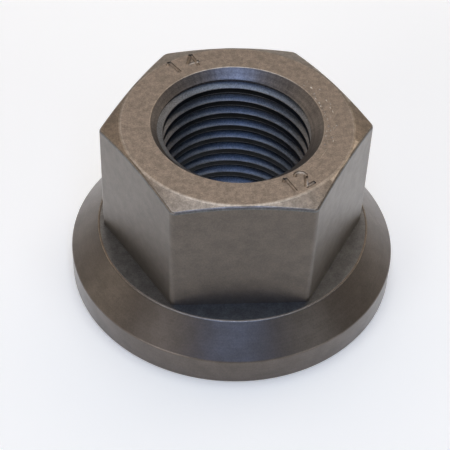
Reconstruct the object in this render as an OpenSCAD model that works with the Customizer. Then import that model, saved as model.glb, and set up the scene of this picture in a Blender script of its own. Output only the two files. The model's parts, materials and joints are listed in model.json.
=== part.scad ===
// Flanged wheel nut: a hexagon on a round coned flange, with one threaded hole right through.
// It is one forged and turned piece of steel. The hole is drawn at the thread's minor diameter.
// Millimetres, +Z up. The origin is the middle of the flat bearing face that meets the wheel.

/* [Hexagon] */
// Width across the flats, which the spanner takes
across_flats = 21; // [20:0.1:23]
// Radius along the six upright corners
corner_r = 0.6; // [0.2:0.1:1.5]
// Full height, from the bearing face to the top face
nut_h = 17.4; // [12:0.1:25]

/* [Top face] */
// Diameter of the flat top face, inside the chamfer
top_d = 20.5; // [18:0.1:21.5]
// Fall of the chamfer below the level, in degrees
chamfer_angle = 19; // [8:1:35]

/* [Flange] */
// Diameter of the flange
flange_d = 30.2; // [28.5:0.1:40]
// Height of the flange's upright rim
rim_h = 2.8; // [1.5:0.1:4.5]
// Height of the flat land that the hexagon stands on
land_h = 5.4; // [5:0.1:8]
// Width of the land outside the hexagon's corners
land_margin = 0.47; // [0.3:0.01:1]
// Radius of the crest, where the land turns down into the cone
crest_r = 0.35; // [0.1:0.05:0.6]
// Radius where the cone turns down into the rim
shoulder_r = 0.25; // [0.1:0.05:0.6]
// Radius round the foot of the rim
foot_r = 0.3; // [0.1:0.05:0.6]

/* [Threaded hole] */
// Nominal diameter of the thread
thread_d = 14; // [10:0.5:15]
// Pitch of the thread
thread_pitch = 1.5; // [1:0.25:2]
// How deep the thread is cut, in percent of its full depth
thread_percent = 62; // [50:1:100]
// How much wider than the thread each countersunk mouth is
mouth_over = 1.2; // [0.2:0.1:2]
// Slope of each countersink, in degrees from the axis
mouth_angle = 45; // [30:1:60]

/* [Hidden] */
// Smoothness of round shapes
$fn = 96;
// How far a cutting shape runs past the face that it cuts
over = 1;
// Full depth of a 60 degree thread over its pitch: 5/8 of the sharp triangle's height
thread_depth_ratio = 5 / 8 * sqrt(3) / 2;
sides = 6;
half_side_angle = 180 / sides;
apothem = across_flats / 2;
// The corner arcs' centres, and the farthest reach of the rounded corners, from the axis
corner_centre = (apothem - corner_r) / cos(half_side_angle);
corner_reach = corner_centre + corner_r;
land_radius = corner_reach + land_margin;
flange_radius = flange_d / 2;
// Fall of the flange's cone below the level
cone_angle = atan2(land_h - rim_h, flange_radius - land_radius);
minor_radius = thread_d / 2 - thread_percent / 100 * thread_depth_ratio * thread_pitch;
mouth_radius = (thread_d + mouth_over) / 2;
mouth_depth = (mouth_radius - minor_radius) / tan(mouth_angle);
steel = [0.42, 0.38, 0.34];

// A point at a distance and an angle from a centre
function polar(centre, distance, angle) = centre + distance * [cos(angle), sin(angle)];

// The centre of a rounded outer corner: the sides face the angles first and second
function arc_centre(corner, radius, first, second) =
    corner - radius / cos((second - first) / 2) * [cos((first + second) / 2), sin((first + second) / 2)];

// The hexagon's outline, with an arc at each corner
module hexagon_outline() {
    corner_centres = [for (side = [0:sides - 1]) polar([0, 0], corner_centre, side * 360 / sides)];
    polygon([
        for (side = [0:sides - 1])
            for (turn = [-half_side_angle, half_side_angle])
                polar(corner_centres[side], corner_r, side * 360 / sides + turn)
    ]);
    for (centre = corner_centres)
        translate(centre)
            circle(r = corner_r);
}

// The flat top face and the cone that chamfers the hexagon's corners, as a turned envelope
module chamfer_envelope() {
    envelope_radius = corner_reach + over;
    envelope_fall = (envelope_radius - top_d / 2) * tan(chamfer_angle);
    rotate_extrude()
        polygon([
            [0, 0],
            [envelope_radius, 0],
            [envelope_radius, nut_h - envelope_fall],
            [top_d / 2, nut_h],
            [0, nut_h]
        ]);
}

module hexagon_body() {
    intersection() {
        linear_extrude(height = nut_h)
            hexagon_outline();
        chamfer_envelope();
    }
}

// Half of the flange's section, with its crest, shoulder and foot rounded
module flange_section() {
    up = 90;
    down = -90;
    out = 0;
    slope = up - cone_angle;
    crest = arc_centre([land_radius, land_h], crest_r, slope, up);
    shoulder = arc_centre([flange_radius, rim_h], shoulder_r, out, slope);
    foot = arc_centre([flange_radius, 0], foot_r, down, out);
    polygon([
        [0, 0],
        polar(foot, foot_r, down),
        polar(foot, foot_r, out),
        polar(shoulder, shoulder_r, out),
        polar(shoulder, shoulder_r, slope),
        polar(crest, crest_r, slope),
        polar(crest, crest_r, up),
        [0, land_h]
    ]);
    translate(crest)
        circle(r = crest_r);
    translate(shoulder)
        circle(r = shoulder_r);
    translate(foot)
        circle(r = foot_r);
}

// What the drill and the countersinks take out
module hole() {
    rotate_extrude()
        polygon([
            [0, -over],
            [mouth_radius + over * tan(mouth_angle), -over],
            [minor_radius, mouth_depth],
            [minor_radius, nut_h - mouth_depth],
            [mouth_radius + over * tan(mouth_angle), nut_h + over],
            [0, nut_h + over]
        ]);
}

module wheel_nut() {
    color(steel)
        difference() {
            union() {
                hexagon_body();
                rotate_extrude()
                    flange_section();
            }
            hole();
        }
}

wheel_nut();
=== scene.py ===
# %% [markdown]
# # A flanged wheel nut
#
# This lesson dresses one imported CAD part, a steel wheel nut, and lights it as a small product
# photograph. The nut is a hexagon that stands on a round flange, with a thread right through it. It was
# forged hot, turned on its top face, its flange and its hole, threaded, hardened, and given a thin
# phosphate coat.
#
# The CAD solid has the nut's true outline and a plain hole. What the eye also looks for is a real
# helical thread, edges that are a little round and so catch the light, stamped figures, and a surface
# with grain. All of that is modelled here as one closed mesh, which stands in for the CAD solid.

import json
import math
import random

import bmesh
import bpy
from mathutils import Matrix, Vector


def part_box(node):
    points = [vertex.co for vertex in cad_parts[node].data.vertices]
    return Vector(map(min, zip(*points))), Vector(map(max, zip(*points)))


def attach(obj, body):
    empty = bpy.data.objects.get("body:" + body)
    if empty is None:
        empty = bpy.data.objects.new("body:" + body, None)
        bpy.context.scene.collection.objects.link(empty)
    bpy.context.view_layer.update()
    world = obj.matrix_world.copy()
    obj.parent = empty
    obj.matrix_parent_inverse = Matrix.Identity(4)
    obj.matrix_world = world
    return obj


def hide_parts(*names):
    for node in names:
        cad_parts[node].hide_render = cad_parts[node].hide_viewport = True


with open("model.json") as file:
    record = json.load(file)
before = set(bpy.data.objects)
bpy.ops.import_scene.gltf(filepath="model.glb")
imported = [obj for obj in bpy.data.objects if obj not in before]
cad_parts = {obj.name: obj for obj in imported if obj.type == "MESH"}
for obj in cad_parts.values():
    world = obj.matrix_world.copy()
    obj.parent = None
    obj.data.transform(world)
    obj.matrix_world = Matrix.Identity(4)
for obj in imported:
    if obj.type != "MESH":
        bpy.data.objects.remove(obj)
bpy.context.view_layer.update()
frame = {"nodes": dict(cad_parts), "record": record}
nut_low, nut_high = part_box("wheel_nut")
thread_mount = next(mount for mount in frame["record"]["mounts"] if mount["name"] == "thread")
print("nodes", sorted(frame["nodes"]), "box", nut_low, nut_high)

# %% [markdown]
# ## Sizes
#
# Blender works in metres, and its modelling tools have small fixed tolerances, near a ten-thousandth of
# a unit. A nut of 30 mm drawn in metres is close to them. So the nut is modelled with one unit for each
# millimetre, and shrunk to metres at the very end.
#
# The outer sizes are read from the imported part: its height and flange from its box, and the hole's
# minor radius and the depth of its countersinks from its mount. The rest repeat the part's own sizes.

# %% Sizes in millimetres
MM = 0.001
nut_h = (nut_high.z - nut_low.z) / MM
flange_r = min(-nut_low.x, nut_high.x) / MM
minor_r = thread_mount["dims"]["r_mm"]
mouth_depth = (nut_h - thread_mount["dims"]["length_mm"]) / 2
# The countersinks slope by 45 degrees, so each one widens by as much as it is deep
mouth_r = minor_r + mouth_depth

# The hexagon: half its width across the flats, its corners, its top face and its chamfer's slope
sides = 6
apothem = 10.5
corner_r = 0.6
top_r = 10.25
chamfer_angle = math.radians(19)
# The flange: its rim, its land, the land's reach past the hexagon's corners, and its rounded edges
rim_h = 2.8
land_h = 5.4
land_margin = 0.47
crest_r = 0.35
shoulder_r = 0.25
foot_r = 0.3
# The thread
thread_d = 14.0
pitch = 1.5

half_side_angle = math.pi / sides
corner_reach = (apothem - corner_r) / math.cos(half_side_angle) + corner_r
land_r = corner_reach + land_margin
round_steps = 256
print(f"nut {nut_h:.2f} mm high, flange {2 * flange_r:.2f} mm, mouths {2 * mouth_r:.2f} mm")


# %% [markdown]
# ## Edit mode
#
# An operator in edit mode works on whatever is selected. So each step first lets go of everything, and
# then takes hold of the edges or faces that it needs. They are found by a test of their place, or of
# the way they face, that is tried on each one.


# %% Step into edit mode and pick
def start_editing(piece):
    """Enters edit mode on one piece, with nothing selected."""
    bpy.ops.object.select_all(action="DESELECT")
    piece.select_set(True)
    bpy.context.view_layer.objects.active = piece
    bpy.ops.object.mode_set(mode="EDIT")
    bpy.ops.mesh.select_mode(type="EDGE")
    bpy.ops.mesh.select_all(action="DESELECT")


def stop_editing():
    bpy.ops.object.mode_set(mode="OBJECT")


def pick(piece, kind, wanted):
    """Selects just the edges or faces for which wanted(one) is true, and says how many they are."""
    bpy.ops.mesh.select_mode(type=kind)
    bpy.ops.mesh.select_all(action="DESELECT")
    mesh = bmesh.from_edit_mesh(piece.data)
    everything = mesh.edges if kind == "EDGE" else mesh.faces
    picked = [one for one in everything if wanted(one)]
    for one in picked:
        one.select_set(True)
    mesh.select_flush_mode()
    bmesh.update_edit_mesh(piece.data)
    return len(picked)


print("now in", bpy.context.mode, "mode")

# %% [markdown]
# ## Tests of place
#
# Numbers that come out of a modelling tool are rarely exact, so a place is matched within a hundredth
# or two of a millimetre. A level ring of edges round the axis is known by its radius and its height. A
# face that looks up is known by its normal, the arrow of length 1 that stands upright on it.

# %% Tests for edges and faces
SLACK = 0.01
RING_SLACK = 0.02
NEARLY_UP = 0.9


def near(value, target, slack=SLACK):
    return abs(value - target) < slack


def on_ring(edge, radius, height):
    """True for an edge that lies along a level ring round the axis."""
    return all(
        near(vertex.co.xy.length, radius, RING_SLACK) and near(vertex.co.z, height, RING_SLACK)
        for vertex in edge.verts
    )


def looks_up(face):
    return face.normal.z > NEARLY_UP


print("rings are matched within", RING_SLACK, "mm")

# %% [markdown]
# ## Pieces and roundings
#
# Each piece starts as a primitive, such as a cylinder, that is added at its size and place. The place
# is then applied: it moves into the mesh, and the object is left at the origin. Pieces are joined, cut
# or crossed by a Boolean modifier with its exact solver.
#
# An edge is rounded by the bevel operator. That has to know how far from the edge the rounding starts,
# which follows from the radius, and from how far the surface turns there.


# %% Add, combine and round
def new_primitive(name, operator, **settings):
    """Adds a primitive, names it, and moves its place into its mesh."""
    bpy.ops.object.select_all(action="DESELECT")
    operator(**settings)
    piece = bpy.context.object
    piece.name = name
    bpy.ops.object.transform_apply(location=True, rotation=True, scale=True)
    return piece


def combine(piece, other, operation):
    """Joins, cuts or crosses piece with other, and deletes other."""
    cut = piece.modifiers.new("combine", "BOOLEAN")
    cut.operation = operation
    cut.solver = "EXACT"
    cut.object = other
    bpy.context.view_layer.objects.active = piece
    bpy.ops.object.modifier_apply(modifier=cut.name)
    bpy.data.objects.remove(other, do_unlink=True)


def setback(radius, turn):
    """How far from an edge a rounding of that radius starts, where the surface turns by that angle."""
    return radius * math.tan(turn / 2)


print(f"a 1 mm rounding of a square edge starts {setback(1.0, math.pi / 2):.2f} mm from it")

# %% [markdown]
# ## The flange
#
# The flange was turned on a lathe. It is a low disc with an upright rim, a cone that climbs to the
# land, and the flat land that the hexagon stands on. A cylinder is the natural start. Its top face is
# extruded up and drawn in, and the new sides are the cone.


# %% Turn the flange
def raise_cone(piece, rise, share):
    """Extrudes the top face up and draws it in to a share of its width, which makes a cone."""
    start_editing(piece)
    pick(piece, "FACE", looks_up)
    bpy.ops.mesh.extrude_region_move(TRANSFORM_OT_translate={"value": (0, 0, rise)})
    bpy.ops.transform.resize(value=(share, share, 1))
    stop_editing()


flange = new_primitive(
    "flange",
    bpy.ops.mesh.primitive_cylinder_add,
    vertices=round_steps,
    radius=flange_r,
    depth=rim_h,
    location=(0, 0, rim_h / 2),
)
raise_cone(flange, land_h - rim_h, land_r / flange_r)
print("flange", [round(side, 2) for side in flange.dimensions], "mm")

# %% [markdown]
# A lathe tool leaves no sharp edge. The crest, where the land turns down into the cone, the shoulder,
# where the cone turns down into the rim, and the foot of the rim are bevelled, each by its own radius.

# %% Round its three edges
cone_turn = math.atan2(land_h - rim_h, flange_r - land_r)
turned_edges = (
    ("crest", land_r, land_h, crest_r, cone_turn),
    ("shoulder", flange_r, rim_h, shoulder_r, math.pi / 2 - cone_turn),
    ("foot", flange_r, 0.0, foot_r, math.pi / 2),
)
start_editing(flange)
for place, ring_r, ring_z, radius, turn in turned_edges:
    count = pick(flange, "EDGE", lambda edge: on_ring(edge, ring_r, ring_z))
    bpy.ops.mesh.bevel(offset=setback(radius, turn), segments=6, affect="EDGES")
    print(f"{place}: {count} edges rounded to {radius} mm")
stop_editing()

# %% [markdown]
# ## The hexagon
#
# A hexagon is a cylinder with six sides. Its upright edges get the small radius that a forging die
# leaves. It is made a little too tall, and its foot is sunk in the flange, so that no two faces lie in
# one plane where it is cut and joined.

# %% Forge the hexagon
over = 1.0
hexagon_foot = land_h - 2 * over


def climbs(edge):
    """True for an edge with one end higher than the other."""
    return not near(edge.verts[0].co.z, edge.verts[1].co.z)


hexagon = new_primitive(
    "hexagon",
    bpy.ops.mesh.primitive_cylinder_add,
    vertices=sides,
    radius=apothem / math.cos(half_side_angle),
    depth=nut_h + over - hexagon_foot,
    location=(0, 0, (nut_h + over + hexagon_foot) / 2),
    rotation=(0, 0, half_side_angle),
)
start_editing(hexagon)
count = pick(hexagon, "EDGE", climbs)
bpy.ops.mesh.bevel(offset=setback(corner_r, 2 * half_side_angle), segments=8, affect="EDGES")
stop_editing()
print("hexagon:", count, "upright edges rounded to", corner_r, "mm")

# %% [markdown]
# Its top was faced on a lathe by a tool set a little off the level, and that cone takes the corners
# down in six curved sweeps. The same is done here: a turned blank with the cone on top is crossed with
# the hexagon, and only what lies in both is left. Where the cone leaves each flat, this gives the
# curved line of a real chamfer.

# %% Face and chamfer its top
blank_r = corner_reach + over
blank_fall = (blank_r - top_r) * math.tan(chamfer_angle)
blank = new_primitive(
    "blank",
    bpy.ops.mesh.primitive_cylinder_add,
    vertices=round_steps,
    radius=blank_r,
    depth=nut_h - blank_fall - hexagon_foot + over,
    location=(0, 0, (nut_h - blank_fall + hexagon_foot - over) / 2),
)
raise_cone(blank, blank_fall, top_r / blank_r)
combine(hexagon, blank, "INTERSECT")
print("hexagon", len(hexagon.data.polygons), "faces, top face", 2 * top_r, "mm across")

# %% [markdown]
# No edge of a handled part is sharp. The line between the chamfer and the flats has a radius near a
# quarter of a millimetre, and the rim of the top face is rounder still, because it has been knocked and
# rubbed. Each is found by the way its two faces lean. Very short edges are merged first, because a
# bevel can't pass them.

# %% Soften the edges of the chamfer
edge_r = 0.28
top_edge_r = 0.8
shortest_edge = 0.02
slope_z = math.cos(chamfer_angle)


def between(edge, first_z, second_z):
    """True for an edge whose two faces lean by the given upward parts of their normals."""
    if len(edge.link_faces) != 2:
        return False
    lower, upper = sorted(face.normal.z for face in edge.link_faces)
    return near(lower, first_z) and near(upper, second_z)


start_editing(hexagon)
bpy.ops.mesh.select_all(action="SELECT")
bpy.ops.mesh.remove_doubles(threshold=shortest_edge)
count = pick(hexagon, "EDGE", lambda edge: between(edge, 0, slope_z))
bpy.ops.mesh.bevel(offset=setback(edge_r, math.pi / 2 - chamfer_angle), segments=4, affect="EDGES")
print("chamfer:", count, "edges rounded to", edge_r, "mm")
count = pick(hexagon, "EDGE", lambda edge: between(edge, slope_z, 1) and on_ring(edge, top_r, nut_h))
bpy.ops.mesh.bevel(offset=setback(top_edge_r, chamfer_angle), segments=3, affect="EDGES")
print("top face:", count, "edges rounded to", top_edge_r, "mm")
stop_editing()

# %% [markdown]
# ## One body with countersunk mouths
#
# The real nut has no seam between its hexagon and its flange, so the two are joined into one skin. A
# cone is then cut into each end of the hole to come. Its tip is narrower than the hole, and the thread
# takes the rest. The rims that the cones leave are softened too.

# %% Join the two and sink the mouths
nut = flange
nut.name = "nut_body"
combine(nut, hexagon, "UNION")
cone_over = 0.5
cone_tip_r = minor_r - over
cone_depth = mouth_r + cone_over - cone_tip_r
for end_z, outward, turned_over in ((0.0, -1, math.pi), (nut_h, 1, 0)):
    cone = new_primitive(
        "countersink",
        bpy.ops.mesh.primitive_cone_add,
        vertices=round_steps,
        radius1=cone_tip_r,
        radius2=mouth_r + cone_over,
        depth=cone_depth,
        location=(0, 0, end_z + outward * (cone_over - cone_depth / 2)),
        rotation=(turned_over, 0, 0),
    )
    combine(nut, cone, "DIFFERENCE")

mouth_edge_r = 0.14
start_editing(nut)
count = pick(nut, "EDGE", lambda edge: on_ring(edge, mouth_r, nut_h) or on_ring(edge, mouth_r, 0))
bpy.ops.mesh.bevel(offset=setback(mouth_edge_r, math.pi / 4), segments=3, affect="EDGES")
stop_editing()
print("mouths:", count, "edges rounded to", mouth_edge_r, "mm")

# %% [markdown]
# ## The thread
#
# A thread is one groove that climbs by its pitch in each turn. The nut was threaded by a tap, a screw
# that cuts its own shape into the hole, so a tap is modelled and cut away from the nut. Its outline
# over one pitch runs from the middle of one crest of the nut's thread to the middle of the next: half
# the crest's flat, a flank, the flat at the groove's bottom, the other flank and the other half of the
# flat. The flanks stand 60 degrees apart, and the flat at the bottom is an eighth of the pitch wide.
#
# The tap is a little over its nominal size, as taps for coated nuts are, so that the coat doesn't make
# the nut tight on its stud. The crests are the wall of the drilled hole, and the corners are a little
# round.

# %% Measure the tap
tap_over = 0.15
root_r = thread_d / 2 + tap_over
root_half = pitch / 16
flank_lean = math.radians(30)
flank_rise = (root_r - minor_r) * math.tan(flank_lean)
crest_half = pitch / 2 - root_half - flank_rise
thread_edge_r = 0.08
print(f"tap {2 * root_r:.2f} mm, crests {2 * crest_half:.2f} mm wide at {2 * minor_r:.2f} mm")

# %% [markdown]
# The outline is drawn in its own plane, as pairs of a distance from the axis and a height. Its lines
# have one of three directions: along the hole, out to the bottom of the groove, and in again.

# %% Draw its outline
ALONG, OUT, IN = math.radians(90), flank_lean, math.radians(150)


def corner_arc(corner, angle_in, angle_out, radius, segments=2):
    """Points round a corner of an outline, which comes in at one angle and leaves at another."""
    side = math.copysign(radius, angle_out - angle_in)
    inset = setback(radius, abs(angle_out - angle_in))
    start = Vector(corner) - inset * Vector((math.cos(angle_in), math.sin(angle_in)))
    centre = start + side * Vector((-math.sin(angle_in), math.cos(angle_in)))
    angles = [angle_in + (angle_out - angle_in) * step / segments for step in range(segments + 1)]
    return [centre - side * Vector((-math.sin(angle), math.cos(angle))) for angle in angles]


outline = [
    Vector((minor_r, 0)),
    *corner_arc((minor_r, crest_half), ALONG, OUT, thread_edge_r),
    *corner_arc((root_r, pitch / 2 - root_half), OUT, ALONG, thread_edge_r),
    *corner_arc((root_r, pitch / 2 + root_half), ALONG, IN, thread_edge_r),
    *corner_arc((minor_r, pitch - crest_half), IN, ALONG, thread_edge_r),
    Vector((minor_r, pitch)),
]
print("outline of", len(outline), "points")

# %% [markdown]
# The screw operator sweeps an open line round the axis and lifts it, in each turn, by the distance
# between the line's ends. The line is made from a ring of as many points, with one edge taken out. The
# axis is given as pointing down, which makes the thread right-handed. The turns are then merged into
# one skin.

# %% Sweep the tap
tap_steps = 72
tap_turns = math.ceil(nut_h / pitch) + 2
merge_distance = 0.001
tap = new_primitive(
    "tap", bpy.ops.mesh.primitive_circle_add, vertices=len(outline), radius=1, fill_type="NOTHING"
)
start_editing(tap)
mesh = bmesh.from_edit_mesh(tap.data)
mesh.verts.ensure_lookup_table()
mesh.edges.remove(mesh.edges.get((mesh.verts[0], mesh.verts[len(outline) - 1])))
for vertex, (radius, height) in zip(mesh.verts, outline):
    vertex.co = (radius, 0, height)
    vertex.select_set(True)
mesh.select_flush(True)
bmesh.update_edit_mesh(tap.data)
bpy.ops.mesh.screw(steps=tap_steps, turns=tap_turns, center=(0, 0, 0), axis=(0, 0, -1))
bpy.ops.mesh.select_all(action="SELECT")
bpy.ops.mesh.remove_doubles(threshold=merge_distance)
tap_low = min(vertex.co.z for vertex in bmesh.from_edit_mesh(tap.data).verts)
print("tap from", round(tap_low, 2), "mm, right-hand,", tap_turns, "turns")

# %% [markdown]
# A Boolean needs a closed skin. Each open end of the tap is drawn out by a pitch and gathered to one
# point, which lies outside the nut.

# %% Close its ends
tap_middle = tap_low + (tap_turns + 1) * pitch / 2
for side in (-1, 1):
    pick(tap, "EDGE", lambda edge: edge.is_boundary and (edge.verts[0].co.z - tap_middle) * side > 0)
    bpy.ops.mesh.extrude_edges_move(TRANSFORM_OT_translate={"value": (0, 0, side * pitch)})
    bpy.ops.mesh.merge(type="CENTER")
open_edges = pick(tap, "EDGE", lambda edge: edge.is_boundary)
bpy.ops.mesh.select_all(action="SELECT")
bpy.ops.mesh.normals_make_consistent(inside=False)
print("tap has", open_edges, "open edges")

# %% [markdown]
# The tap is lifted by whole turns until its middle is near the nut's, and a little more, so that the
# crests come to the heights they have on the real nut. Then it is cut away.

# %% Cut the thread
crest_height = 0.17
turns_up = round((nut_h / 2 - tap_middle) / pitch)
bpy.ops.transform.translate(value=(0, 0, crest_height + turns_up * pitch))
stop_editing()
combine(nut, tap, "DIFFERENCE")
print("nut", len(nut.data.vertices), "points,", len(nut.data.polygons), "faces")

# %% [markdown]
# ## Stamped figures
#
# Plain figures are struck into the top face with blunt steel punches, which leave grooves with steep
# walls and a round bottom. The two walls of a groove catch different light, and that is what makes it
# readable. A figure is drawn as a few strokes, each a line from point to point, in units of the
# figure's height and from its middle. The bowl of the 2 is most of a circle.

# %% Draw the figures
BOWL_R = 0.27
BOWL_UP = 0.23
bowl_turns = (2.8, 2.2, 1.6, 1.0, 0.4, -0.2, -0.7)
bowl = [(BOWL_R * math.cos(turn), BOWL_UP + BOWL_R * math.sin(turn)) for turn in bowl_turns]
figure_strokes = {
    "1": [[(-0.22, 0.27), (0, 0.5)], [(0, 0.5), (0, -0.5)]],
    "2": [bowl, [bowl[-1], (-0.28, -0.5)], [(-0.28, -0.5), (0.3, -0.5)]],
    "4": [[(0.16, -0.5), (0.16, 0.5)], [(0.16, 0.5), (-0.3, -0.18)], [(-0.3, -0.18), (0.34, -0.18)]],
}
print("figures", ", ".join(figure_strokes))

# %% [markdown]
# Each stroke becomes a round bar, which is laid with its lower part in the metal. The bar is a curve
# with a round bevel, made a mesh. It is 0.4 mm thick and goes 0.15 mm deep, so its groove is nearly as
# wide as the bar.

# %% Make a bar for a stroke
figure_h = 1.75
stroke_r = 0.2
figure_depth = 0.15


def at_turn(radius, turn):
    """X and Y of a point, from its distance from the axis and its angle."""
    return radius * math.cos(turn), radius * math.sin(turn)


def make_bar(points, radius, angle, heads):
    """A round bar along one stroke of a figure that stands at a radius and an angle on the top face."""
    stroke = bpy.data.curves.new("stroke", "CURVE")
    stroke.dimensions = "3D"
    stroke.bevel_depth = stroke_r
    stroke.bevel_resolution = 2
    stroke.use_fill_caps = True
    line = stroke.splines.new("POLY")
    line.points.add(len(points) - 1)
    for point, (across, up) in zip(line.points, points):
        point.co = (across * figure_h, up * figure_h, 0, 1)
    bar = bpy.data.objects.new("stroke", stroke)
    bpy.context.scene.collection.objects.link(bar)
    bpy.ops.object.select_all(action="DESELECT")
    bar.select_set(True)
    bpy.context.view_layer.objects.active = bar
    bpy.ops.object.convert(target="MESH")
    bar = bpy.context.object
    turn = math.radians(angle)
    bar.location = (*at_turn(radius, turn), nut_h + stroke_r - figure_depth)
    bar.rotation_euler = (0, 0, turn + math.radians(heads))
    bpy.ops.object.transform_apply(location=True, rotation=True, scale=True)
    start_editing(bar)
    bpy.ops.mesh.select_all(action="SELECT")
    bpy.ops.mesh.remove_doubles(threshold=merge_distance)
    bpy.ops.mesh.normals_make_consistent(inside=False)
    stop_editing()
    return bar


print("bars", 2 * stroke_r, "mm thick")

# %% [markdown]
# One pair of figures stands at the back with its heads outwards, and one at the front with its heads
# towards the hole. Each row below gives a figure, its distance from the axis, its angle, and the way
# its head points. The bars are joined first, so that strokes that cross leave no inner walls, and all
# are cut away at once.

# %% Strike the figures
figures = (
    ("1", 9.3, 124.2, -90),
    ("4", 9.3, 113.0, -90),
    ("1", 8.85, -63.4, 90),
    ("2", 8.85, -54.6, 90),
)
bars = [make_bar(points, *place) for figure, *place in figures for points in figure_strokes[figure]]
for bar in bars[1:]:
    combine(bars[0], bar, "UNION")
combine(nut, bars[0], "DIFFERENCE")
print("struck", len(figures), "figures of", len(bars), "strokes,", figure_depth, "mm deep")

# %% [markdown]
# ## Nicks
#
# Beside the mouth, on the right, handling has left a patch of small nicks and one longer scratch. Each
# is the dent of something hard and round. They are scattered by a seeded random draw, which is the same
# each time, and lie closer together near the mouth. A nick that would touch an earlier one is drawn
# again, because balls that cross each other would spoil the cut.

# %% Scatter the nicks
chance = random.Random(3)
nick_count = 30
nick_gap = 0.03
nick_from_mouth = 0.2
nick_turns = (-38, 40)
nick_half_widths = (0.04, 0.11)
nick_half_lengths = (0.06, 0.24)
scratch = (mouth_r + 0.65, math.radians(-31), 0.07, 0.9)
nicks = [scratch]


def is_clear(spot, reach):
    """True where a nick that reaches so far from its spot keeps clear of all the earlier ones."""
    for radius, turn, half_width, half_length in nicks:
        distance = (spot - Vector(at_turn(radius, turn))).length
        if distance - max(half_width, half_length) <= reach + nick_gap:
            return False
    return True


while len(nicks) < nick_count:
    turn = math.radians(chance.uniform(*nick_turns))
    # A draw from 0 to 1 lies anywhere, but its square is mostly small, so most nicks are near the mouth
    radius = mouth_r + nick_from_mouth + chance.random() ** 2
    half_width = chance.uniform(*nick_half_widths)
    half_length = chance.uniform(*nick_half_lengths)
    if is_clear(Vector(at_turn(radius, turn)), max(half_width, half_length)):
        nicks.append((radius, turn, half_width, half_length))
print("scattered", len(nicks), "nicks, the longest", 2 * scratch[3], "mm long")

# %% [markdown]
# A nick is cut by a ball of radius 1, which is added at the nick's own half width, half length and
# depth, and turned so that its length runs round the hole. Its middle is a hair above the metal,
# because a ball whose widest ring lay just in the top face would be hard for the Boolean to tell apart.

# %% Knock the nicks
nick_depth = 0.07
nick_lift = 0.01
balls = [
    new_primitive(
        "nick",
        bpy.ops.mesh.primitive_uv_sphere_add,
        segments=12,
        ring_count=6,
        radius=1,
        location=(*at_turn(radius, turn), nut_h + nick_lift),
        rotation=(0, 0, turn),
        scale=(half_width, half_length, nick_depth),
    )
    for radius, turn, half_width, half_length in nicks
]
bpy.ops.object.select_all(action="DESELECT")
for ball in balls:
    ball.select_set(True)
bpy.context.view_layer.objects.active = balls[0]
bpy.ops.object.join()
combine(nut, balls[0], "DIFFERENCE")
print("knocked", len(nicks), "nicks, nut now", len(nut.data.polygons), "faces")

# %% [markdown]
# ## Smooth shading
#
# Faces that meet at less than 30 degrees are shaded as one skin, and the rest keep a crisp edge. A wide
# flat face beside a narrow rounding would still look bent, because the normal at a shared corner is an
# average of both. The Weighted Normal modifier gives the larger face its say, so that flats stay flat
# and only the roundings look round.

# %% Shade the nut
bpy.ops.object.select_all(action="DESELECT")
nut.select_set(True)
bpy.context.view_layer.objects.active = nut
bpy.ops.object.shade_smooth_by_angle(angle=math.radians(30))
weighted = nut.modifiers.new("flats_stay_flat", "WEIGHTED_NORMAL")
weighted.keep_sharp = True
bpy.ops.object.modifier_apply(modifier=weighted.name)
print("smooth, with", sum(edge.use_edge_sharp for edge in nut.data.edges), "crisp edges")

# %% [markdown]
# ## How the steel is coated
#
# The whole nut has one coat, zinc phosphate with a trace of oil in it. It is metal seen through a thin
# dull film, so the material is mostly metallic, warm grey and satin, and the oil is a thin clear coat
# on top. What differs from place to place is how the steel below was made: the forged flats are a
# little cloudy, the turned faces have fine rings, the countersinks have faint streaks too, the thread
# is darkest in its groove, partly from oil and partly as painted shade, the land is a darker grey than
# the top, and the sharp edges are rubbed lighter, which is partly a painted highlight. The crests in
# the bore are painted dark as shade, and a painted dark line runs under the chamfer. So one function
# makes all nine finishes.
#
# The first helper turns an sRGB hex colour into the linear numbers of a shader. The second adds a node,
# and sets or links its inputs.


# %% Colour and node helpers
def linear(hex_colour):
    """The linear numbers that a shader works in, from an sRGB hex colour."""
    parts = [int(hex_colour[start : start + 2], 16) / 255 for start in (1, 3, 5)]
    return [part / 12.92 if part <= 0.04045 else ((part + 0.055) / 1.055) ** 2.4 for part in parts] + [1.0]


def add(tree, kind, settings=None, inputs=None):
    """Adds a node. Its inputs are given by name or number, each as a value or as a socket to link."""
    node = tree.nodes.new(kind)
    for name, value in (settings or {}).items():
        setattr(node, name, value)
    for name, value in (inputs or {}).items():
        if isinstance(value, bpy.types.NodeSocket):
            tree.links.new(value, node.inputs[name])
        else:
            node.inputs[name].default_value = value
    return node


def new_material(name):
    material = bpy.data.materials.new(name)
    material.use_nodes = True
    material.node_tree.nodes.clear()
    return material, material.node_tree


print("warm grey in linear numbers", [round(part, 3) for part in linear("#807468")])

# %% [markdown]
# ## Clouds in the coat
#
# The coat grows unevenly, in clouds from half a millimetre to a few millimetres wide that differ by a
# few shades. A noise read at the point's own place in the object gives them on any face, with no seams.
# Its middle values are spread from 0 to 1, and mix two tones.

# %% Mix two tones in clouds
CLOUD_LOW = 0.35
CLOUD_HIGH = 0.65


def coat_clouds(tree, place, tones, cloud_mm):
    """A colour that drifts between two tones, and the drift itself, from 0 to 1."""
    noise = add(
        tree,
        "ShaderNodeTexNoise",
        inputs={"Vector": place, "Scale": 1 / (cloud_mm * MM), "Detail": 4.0, "Roughness": 0.6},
    )
    drift = add(
        tree,
        "ShaderNodeMapRange",
        inputs={"Value": noise.outputs["Fac"], "From Min": CLOUD_LOW, "From Max": CLOUD_HIGH},
    )
    # A Mix node has an A and a B for each kind of data, and its colours are inputs 6 and 7 and output 2
    colour = add(
        tree,
        "ShaderNodeMix",
        {"data_type": "RGBA"},
        {"Factor": drift.outputs["Result"], 6: linear(tones[0]), 7: linear(tones[1])},
    )
    return colour.outputs[2], drift.outputs["Result"]


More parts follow.
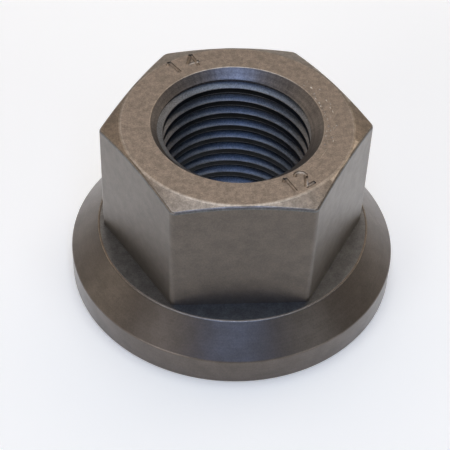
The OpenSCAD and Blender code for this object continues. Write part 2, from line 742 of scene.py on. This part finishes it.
print("noise from", CLOUD_LOW, "to", CLOUD_HIGH, "makes the clouds")

# %% [markdown]
# ## Crystals and other fine marks
#
# Close up, the coat is a felt of crystals a few hundredths of a millimetre wide. They are too fine for
# a picture of this size, so they are drawn 0.13 mm wide. One noise does two jobs: it shades the colour
# a little up and down, and it is the height of a faint bump. The marks of the tools need the same two
# things, so one function makes them all.

# %% Speckle the steel
CRYSTAL_MM = 0.13
MARKS_LOW = 0.3
MARKS_HIGH = 0.7


def fine_marks(tree, coordinates, scale, stray):
    """The height of fine marks, from 0 to 1, and their shade, which strays from 1 by so much at most."""
    noise = add(
        tree,
        "ShaderNodeTexNoise",
        inputs={"Vector": coordinates, "Scale": scale, "Detail": 2.0, "Roughness": 0.6},
    )
    shade = add(
        tree,
        "ShaderNodeMapRange",
        inputs={
            "Value": noise.outputs["Fac"],
            "From Min": MARKS_LOW,
            "From Max": MARKS_HIGH,
            "To Min": 1 - stray,
            "To Max": 1 + stray,
        },
    )
    return noise.outputs["Fac"], shade.outputs["Result"]


print("crystals", CRYSTAL_MM, "mm wide")

# %% [markdown]
# ## Marks of the tools
#
# A lathe tool leaves a fine spiral, which looks like rings. They depend only on how far a point is from
# the axis and on its height. So a noise that is given those two numbers, in place of X, Y and Z, makes
# rings on a flat face, on a cone and on a rim alike. Real ones are about 0.1 mm apart. They are drawn
# at 0.22 mm, so that they show.
#
# A countersink also chatters: its edges skip as they cut, and leave faint streaks that run down its
# cone, less than half a millimetre apart. They depend only on the heading from the axis, so the same
# kind of noise is given the heading, as an arrow of length 1.

# %% Measure from the axis
RING_MM = 0.22
CHATTER_MM = 0.4


def from_axis(tree, place):
    """A point's distance from the axis, then that and its height as a new X and Y, then its heading."""
    parts = add(tree, "ShaderNodeSeparateXYZ", inputs={"Vector": place})
    flat = {"X": parts.outputs["X"], "Y": parts.outputs["Y"]}
    level = add(tree, "ShaderNodeCombineXYZ", inputs=flat).outputs["Vector"]
    reach = add(tree, "ShaderNodeVectorMath", {"operation": "LENGTH"}, {0: level}).outputs["Value"]
    ring = {"X": reach, "Y": parts.outputs["Z"]}
    section = add(tree, "ShaderNodeCombineXYZ", inputs=ring).outputs["Vector"]
    heading = add(tree, "ShaderNodeVectorMath", {"operation": "NORMALIZE"}, {0: level}).outputs["Vector"]
    return reach, section, heading


print("rings", RING_MM, "mm apart, streaks", CHATTER_MM, "mm apart at the mouth")

# %% [markdown]
# ## Dark grooves
#
# Oil and cutting dust stay at the bottom of the thread's groove, and little light gets there, so there
# is a dark line above each turn. That line is painted into the thread's colour, partly for the oil and
# partly as painted shade. The thread's finish falls to a small share of its brightness in the last
# fifth of the groove's depth. The distance from the axis tells how deep a point lies.

# %% Darken the bottom of the groove
thread_depth = root_r - minor_r
GROOVE_START = 0.8
GROOVE_END = 0.92


# Painted shade at the bottom of the thread's groove, partly standing for oil
def oil_and_painted_shade_in_groove(tree, reach, darkest):
    """A painted shade, for oil and for shade: 1 on the crests and flanks, darkest at the groove's bottom.
    """
    shade = add(
        tree,
        "ShaderNodeMapRange",
        inputs={
            "Value": reach,
            "From Min": (minor_r + GROOVE_START * thread_depth) * MM,
            "From Max": (minor_r + GROOVE_END * thread_depth) * MM,
            "To Min": 1.0,
            "To Max": darkest,
        },
    )
    return shade.outputs["Result"]


print(f"groove {thread_depth:.2f} mm deep, dark from {GROOVE_START * thread_depth:.2f} mm")

# %% [markdown]
# ## All the marks together
#
# A finish has crystals everywhere and rings of its own strength, and may have chatter streaks and a
# dark groove, which is partly oil and partly painted shade. Their shades are multiplied together. The
# heights of the crystals and the rings are added up, and will make the bump.

# %% Gather the marks
MARK_SHADE = 0.45


def all_marks(tree, place, grain, rings, chatter, darkest_groove_oil_and_painted_shade):
    """The shade of all the marks of a finish, and their height."""
    crystal_height, shade = fine_marks(tree, place, 1 / (CRYSTAL_MM * MM), grain)
    reach, section, heading = from_axis(tree, place)
    ring_height, ring_shade = fine_marks(tree, section, 1 / (RING_MM * MM), MARK_SHADE * rings)
    more_shades = [ring_shade]
    if chatter > 0:
        more_shades.append(fine_marks(tree, heading, mouth_r / CHATTER_MM, MARK_SHADE * chatter)[1])
    # The groove's darkening, partly for oil and partly painted shade
    if darkest_groove_oil_and_painted_shade < 1:
        more_shades.append(oil_and_painted_shade_in_groove(tree, reach, darkest_groove_oil_and_painted_shade))
    for more in more_shades:
        shade = add(tree, "ShaderNodeMath", {"operation": "MULTIPLY"}, {0: shade, 1: more}).outputs[0]
    heights = {0: ring_height, 1: rings, 2: crystal_height}
    height = add(tree, "ShaderNodeMath", {"operation": "MULTIPLY_ADD"}, heights).outputs[0]
    return shade, height


print("a tool's marks stray by", MARK_SHADE, "at full strength")

# %% [markdown]
# ## One function for all the finishes
#
# The shade of the marks scales the cloudy colour. The bump is a few thousandths of a millimetre high.
# The gloss drifts a little with the clouds. The oil takes the same bump, which keeps it from looking
# like varnish.

# %% Coat the steel
METALLIC = 0.9
OIL_ROUGHNESS = 0.3
RELIEF_MM = 0.004
GLOSS_DRIFT = 0.03


def coated_steel(
    name, tones, roughness, cloud_mm, grain, rings=0.0, chatter=0.0, oil=0.6, darkest_groove_oil_and_painted_shade=1.0
):
    """Phosphated steel of two tones, with an oil film. Lower roughness is glossier."""
    material, tree = new_material(name)
    place = add(tree, "ShaderNodeTexCoord").outputs["Object"]
    colour, drift = coat_clouds(tree, place, tones, cloud_mm)
    shade, height = all_marks(tree, place, grain, rings, chatter, darkest_groove_oil_and_painted_shade)
    shaded = add(tree, "ShaderNodeVectorMath", {"operation": "SCALE"}, {0: colour, "Scale": shade})
    relief = {"Height": height, "Distance": RELIEF_MM * MM}
    bump = add(tree, "ShaderNodeBump", inputs=relief).outputs["Normal"]
    gloss = add(
        tree,
        "ShaderNodeMapRange",
        inputs={"Value": drift, "To Min": roughness - GLOSS_DRIFT, "To Max": roughness + GLOSS_DRIFT},
    )
    shader = add(
        tree,
        "ShaderNodeBsdfPrincipled",
        inputs={
            "Base Color": shaded.outputs["Vector"],
            "Metallic": METALLIC,
            "Roughness": gloss.outputs["Result"],
            "Coat Weight": oil,
            "Coat Roughness": OIL_ROUGHNESS,
            "Normal": bump,
            "Coat Normal": bump,
        },
    )
    add(tree, "ShaderNodeOutputMaterial", inputs={"Surface": shader.outputs["BSDF"]})
    return material


print("relief", RELIEF_MM, "mm high")

# %% [markdown]
# ## The nine finishes
#
# - Forged flats: scale from the forge was blasted off, which leaves a fine even grain and faint clouds.
# - Turned top: the faced end and its chamfer, warm grey, with faint rings and the clearest clouds.
# - Turned flange: cone, rim and bearing face, a little darker and glossier.
# - Dark land: the ledge round the hexagon, a neutral grey darker than the top. The same finish makes
#   the line where the chamfer meets the flats, which is a painted dark reflection.
# - Countersink: cut after the top, with clear rings and faint streaks.
# - Thread: the flanks that the tap cut, a nearly neutral grey, less glossy, and dark at the bottom of
#   the groove, partly from oil and partly as painted shade.
# - Drilled bore: what is left of the drilled wall, on the crests of the thread. It was rubbed smooth
#   and dry by the tap, and has no oil. It is the darkest finish, which is painted shade for the dark
#   hole that these crests mirror.
# - Worn edge: the crest of the flange and the rims of the top face and of the mouth, where handling has
#   rubbed the coat down to lighter metal. Its lighter colour is partly a painted highlight, and on the
#   foot of the chamfer, where it is used too, it is only a painted highlight.
# - Bare nick: steel that a knock has just laid bare, the brightest of all.
#
# Each recipe gives a finish its two tones, its roughness, the width of its clouds in millimetres, the
# stray of its crystals' shade, and whatever else it has.

# %% Mix the nine finishes
recipes = {
    "forged_flats": dict(tones=("#655c53", "#5b534b"), roughness=0.40, cloud_mm=1.0, grain=0.14),
    "turned_top": dict(
        tones=("#8e8175", "#766b60"), roughness=0.42, cloud_mm=0.5, grain=0.24, rings=0.13
    ),
    "turned_flange": dict(
        tones=("#655b54", "#5a5149"), roughness=0.38, cloud_mm=1.5, grain=0.14, rings=0.13
    ),
    # The land is a grey darker than the top, and the same finish is the painted dark line under the
    # chamfer
    "dark_land_and_painted_dark_line": dict(tones=("#6c6c6b", "#5c5b5a"), roughness=0.45, cloud_mm=0.8, grain=0.25),
    "countersink": dict(
        tones=("#8a817b", "#7e7570"), roughness=0.38, cloud_mm=1.0, grain=0.25, rings=0.5, chatter=0.3
    ),
    "thread": dict(
        tones=("#84878d", "#797c81"),
        roughness=0.45,
        cloud_mm=1.0,
        grain=0.35,
        rings=0.13,
        oil=0.2,
        # The bottom of the groove is darkened, partly for oil and partly as painted shade
        darkest_groove_oil_and_painted_shade=0.15,
    ),
    # The bore's crests are painted dark: painted shade for the dark hole that they mirror
    "drilled_bore_painted_shade": dict(
        tones=("#303134", "#2a2b2d"), roughness=0.35, cloud_mm=1.0, grain=0.2, oil=0.0
    ),
    # Rubbed edges, lighter partly from wear and partly as a painted highlight
    "worn_edge_and_painted_highlight": dict(tones=("#a1978d", "#847a70"), roughness=0.36, cloud_mm=0.5, grain=0.15),
    "bare_nick": dict(tones=("#bab0a5", "#9c9287"), roughness=0.33, cloud_mm=0.5, grain=0.15),
}
for name, recipe in recipes.items():
    nut.data.materials.append(coated_steel(name, **recipe))
print("finishes", ", ".join(recipes))

# %% [markdown]
# ## Which face gets which finish
#
# Each face is known by where its middle lies and by its lean, the upward part of its normal. That is 1
# for a face that looks up, 0 for an upright one and -1 for one that looks down, and the faces of a
# rounding have all the leans between those of its two neighbours. The tests are tried in order, and the
# first that holds gives the finish. The flat top and bottom come first, because each is a few large
# faces whose middle can lie anywhere, over the hole too.

# %% Set the limits of the finishes
HALFWAY_UP = (nut_h + land_h) / 2
# The least lean of a level face, of the land and of the top's slopes, and the most of an upright wall
LEVEL = 0.999
LAND_LEVEL = 0.99
TOP_LEAN = 0.3
WALL_LEAN = 0.2
# The leans of the countersink, the rounded rims and the painted dark line, clear of those of their
# neighbours
LEAN_SLACK = 0.01
SINK_LEAN = math.sqrt(0.5)
MOUTH_RIM_LEANS = (0.73, 0.998)
CHAMFER_FOOT_LEANS = (0.8, slope_z - LEAN_SLACK)
DARK_LINE_LEANS = (0.1, 0.6)
CREST_LEANS = (0.8, 0.94)
# How far the rims and the bore's wall stray from their lines, in millimetres
TOP_RIM_HALF = 0.2
CHAMFER_ZONE = 0.5
CREST_HALF_WIDTH = 0.4
CREST_HALF_HEIGHT = 0.3
BORE_SLACK = 0.03
# Where the nicks lie: a little below the top face, outside the mouth, and on the side of +X
NICK_HEIGHTS = (nut_h - 0.1, nut_h - 0.002)
NICK_START = mouth_r + 0.15
NICK_SIDE = 0.7


def within(value, limits):
    return limits[0] < value < limits[1]


print("the chamfer leans by", round(slope_z, 3), "and the countersinks by", round(SINK_LEAN, 3))

# %% [markdown]
# The first function knows the faces that stand out by their lean: the flat ends, the rubbed rims with
# their painted highlight, the painted dark line under the chamfer and the nicks. The second one tells
# the rest apart by their place: first what is in the hole, then the flange's crest and land, and then
# the top, the flats and the flange.


# %% Tell a face's finish
def finish_by_lean(face):
    """The finish of a level face, a rim or a nick, and nothing for any other face."""
    centre, lean = face.center, face.normal.z
    reach, height = centre.xy.length, centre.z
    if near(height, nut_h) and lean > LEVEL:
        return "turned_top"
    if near(height, 0) and lean < -LEVEL:
        return "turned_flange"
    if height < HALFWAY_UP:
        return None
    by_chamfer = reach > apothem - CHAMFER_ZONE
    mouth_rim = near(reach, mouth_r, mouth_edge_r) and within(lean, MOUTH_RIM_LEANS)
    top_rim = near(reach, top_r, TOP_RIM_HALF) and lean > slope_z + LEAN_SLACK
    # The rims get the rubbed finish, partly a painted highlight; on the chamfer's foot it is only a
    # painted highlight
    if mouth_rim or top_rim or (by_chamfer and within(lean, CHAMFER_FOOT_LEANS)):
        return "worn_edge_and_painted_highlight"
    # A painted dark line under the chamfer, for the dark that this rounding mirrors
    if by_chamfer and within(lean, DARK_LINE_LEANS):
        return "dark_land_and_painted_dark_line"
    if within(height, NICK_HEIGHTS) and reach > NICK_START and centre.x > NICK_SIDE * reach:
        return "bare_nick"
    return None


def finish_by_place(face):
    """The finish of any other face."""
    centre, lean = face.center, face.normal.z
    reach, height = centre.xy.length, centre.z
    inwards = face.normal.xy.dot(centre.xy) < 0
    if reach < mouth_r and inwards and near(abs(lean), SINK_LEAN, 2 * LEAN_SLACK):
        return "countersink"
    # Painted shade: the crests of the bore get the darkest finish
    if near(reach, minor_r, BORE_SLACK) and inwards and abs(lean) < WALL_LEAN:
        return "drilled_bore_painted_shade"
    if reach < mouth_r and (inwards or height < nut_h - 2 * SLACK):
        return "thread"
    on_crest = near(reach, land_r, CREST_HALF_WIDTH) and near(height, land_h, CREST_HALF_HEIGHT)
    # The flange's crest: wear and a painted highlight
    if on_crest and within(lean, CREST_LEANS):
        return "worn_edge_and_painted_highlight"
    if near(height, land_h) and lean > LAND_LEVEL:
        return "dark_land_and_painted_dark_line"
    if height > HALFWAY_UP and reach > mouth_r and lean > TOP_LEAN:
        return "turned_top"
    return "forged_flats" if height > land_h else "turned_flange"


known_by_lean = sum(finish_by_lean(face) is not None for face in nut.data.polygons)
print(known_by_lean, "of", len(nut.data.polygons), "faces are known by their lean")

# %% [markdown]
# The finishes are the nut's material slots, in the order of the recipes, and each face holds the number
# of its slot. The counts show that every finish is in use.

# %% Give each face its finish
names = list(recipes)
counts = dict.fromkeys(names, 0)
for face in nut.data.polygons:
    finish = finish_by_lean(face) or finish_by_place(face)
    face.material_index = names.index(finish)
    counts[finish] += 1
print("faces", counts)

# %% [markdown]
# ## Back to metres
#
# The nut is shrunk to its real size, and the scale is applied, so that the object itself stays unscaled
# and at the origin. It then takes its place in the frame: it rides on the one body, and hides the CAD
# solid that it stands for.

# %% Shrink to metres
nut.scale = (MM, MM, MM)
bpy.ops.object.transform_apply(location=True, rotation=True, scale=True)
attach(nut, "root")
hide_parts("wheel_nut")
print("nut", [round(side / MM, 2) for side in nut.dimensions], "mm")

# %% [markdown]
# ## Floor
#
# A product photograph has a white ground. Here it is a matt table, nearly white. To bring it closer to
# white without more light on the nut, it also glows a little, but only for rays from the camera and for
# those that a mirror or glass sends on, so that the metal reflects the same pale table. The glow is
# added to the lit surface, so the nut's soft shadow stays.

# %% Lay the floor
FLOOR_SIZE = 6
FLOOR_GLOW = 0.25
floor = new_primitive("floor", bpy.ops.mesh.primitive_plane_add, size=FLOOR_SIZE)
material, tree = new_material("pale_table")
matt = add(tree, "ShaderNodeBsdfDiffuse", inputs={"Color": linear("#f7f5f0")})
ray = add(tree, "ShaderNodeLightPath")
seen = ray.outputs["Is Camera Ray"]
for other in ("Is Glossy Ray", "Is Transmission Ray"):
    either = {"operation": "ADD", "use_clamp": True}
    seen = add(tree, "ShaderNodeMath", either, {0: seen, 1: ray.outputs[other]}).outputs[0]
strength = add(tree, "ShaderNodeMath", {"operation": "MULTIPLY"}, {0: seen, 1: FLOOR_GLOW})
light = {"Color": linear("#fffefc"), "Strength": strength.outputs[0]}
glow = add(tree, "ShaderNodeEmission", inputs=light)
both = add(tree, "ShaderNodeAddShader", inputs={0: matt.outputs["BSDF"], 1: glow.outputs["Emission"]})
add(tree, "ShaderNodeOutputMaterial", inputs={"Surface": both.outputs["Shader"]})
floor.data.materials.append(material)
print("floor", floor.dimensions.x, "m wide")

# %% [markdown]
# ## Studio room
#
# The room is a pale wall all round that fades to dark above. It lights the sides of the nut evenly from
# every direction, and leaves the top to the lamps. The world is bright at the horizon, and falls to
# nothing by about 45 degrees up.

# %% Light from the room
ROOM_FADE = 0.7
ROOM_LIGHT = 0.53
world = bpy.data.worlds.new("studio")
bpy.context.scene.world = world
world.use_nodes = True
tree = world.node_tree
tree.nodes.clear()
direction = add(tree, "ShaderNodeTexCoord").outputs["Generated"]
parts = add(tree, "ShaderNodeSeparateXYZ", inputs={"Vector": direction})
fade = add(
    tree,
    "ShaderNodeMapRange",
    {"interpolation_type": "SMOOTHSTEP"},
    {
        "Value": parts.outputs["Z"],
        "From Min": 0.0,
        "From Max": ROOM_FADE,
        "To Min": ROOM_LIGHT,
        "To Max": 0.0,
    },
)
light = {"Color": linear("#fff6e8"), "Strength": fade.outputs["Result"]}
wall = add(tree, "ShaderNodeBackground", inputs=light)
add(tree, "ShaderNodeOutputWorld", inputs={"Surface": wall.outputs["Background"]})
print("room light", ROOM_LIGHT, "at the horizon")

# %% [markdown]
# ## Softboxes
#
# Each lamp is a square box half a metre away that faces the nut. Its azimuth is its heading round the
# nut in degrees: 0 is straight behind the nut, and 180 is on the camera's side. Its elevation is how
# high it stands above the table, in degrees too. Its brightness is set as the radiance of its face,
# where 1 is white. Blender wants the power in watts instead, which is the radiance times pi and the
# area.

# %% Build a softbox
BOX_SIZE = 0.26
BOX_DISTANCE = 0.5


def softbox(azimuth, elevation, colour, brightness):
    """A square lamp that faces the nut from one side."""
    name = f"softbox_{azimuth}_{elevation}"
    lamp = bpy.data.lights.new(name, "AREA")
    lamp.shape = "SQUARE"
    lamp.size = BOX_SIZE
    lamp.color = linear(colour)[:3]
    lamp.energy = brightness * math.pi * BOX_SIZE**2
    holder = bpy.data.objects.new(name, lamp)
    bpy.context.scene.collection.objects.link(holder)
    holder.matrix_world = (
        Matrix.Rotation(math.radians(-azimuth), 4, "Z")
        @ Matrix.Rotation(math.radians(elevation), 4, "X")
        @ Matrix.Translation((0, BOX_DISTANCE, 0))
        @ Matrix.Rotation(math.radians(-90), 4, "X")
    )


print("a box of brightness 1 takes", round(math.pi * BOX_SIZE**2, 3), "W")

# %% [markdown]
# Satin metal looks like what stands round it, so the lamps are placed by what each face mirrors.
#
# - High lamps light the rim of the top face, the chamfers and the table.
# - The lamps at 45 degrees at the back are what the top face mirrors. They are warm.
# - The two lamps on the camera's side are cool. They are what the thread's flanks, the far side of the
#   countersink and the front of the cone mirror, which turns those bluish beside the warm top.
# - Low lamps at the sides light the side flats and leave the front flat darker, so that the corners
#   stand out.
#
# Each row gives an azimuth, an elevation, a colour and a brightness.

# %% Hang the softboxes
softboxes = (
    (0, 75, "#ffffff", 2.05),
    (90, 75, "#e9f2fb", 1.6),
    (180, 60, "#9abcff", 1.5),
    (270, 75, "#e9f3ff", 1.35),
    (0, 45, "#fff1e6", 1.0),
    (45, 45, "#ffe9cf", 1.2),
    (315, 45, "#ffe6ca", 0.85),
    (180, 45, "#a6c6ff", 1.3),
    (135, 15, "#eaf3fa", 1.5),
    (225, 15, "#f4f6fa", 2.9),
    (270, 15, "#fff7e9", 0.7),
)
for box in softboxes:
    softbox(*box)
print("hung", len(softboxes), "softboxes of", BOX_SIZE, "m")

# %% [markdown]
# ## Camera
#
# The camera looks down at 46 degrees with a long lens from close by, so the lines of the nut converge a
# little. Its place was worked out from the edges of the nut in the photograph, in the photograph's own
# square frame. The aim is a point near the middle of the nut.

# %% Set the camera
view_turn = math.radians(4.88)
view_rise = math.radians(45.73)
view_roll = math.radians(2.33)
view_distance = 128.7 * MM
aim = Vector((-0.70, 0.06, 4.51)) * MM
lens = bpy.data.cameras.new("camera")
lens.sensor_width = 36
lens.lens = 109.55
lens.clip_start = 0.01
camera = bpy.data.objects.new("camera", lens)
bpy.context.scene.collection.objects.link(camera)
camera.matrix_world = (
    Matrix.Translation(aim)
    @ Matrix.Rotation(-view_turn, 4, "Z")
    @ Matrix.Rotation(math.pi / 2 - view_rise, 4, "X")
    @ Matrix.Rotation(view_roll, 4, "Z")
    @ Matrix.Translation((0, 0, view_distance))
)
bpy.context.scene.camera = camera
bpy.context.scene.view_settings.view_transform = "Standard"
print("camera", [round(part / MM, 1) for part in camera.matrix_world.translation], "mm")
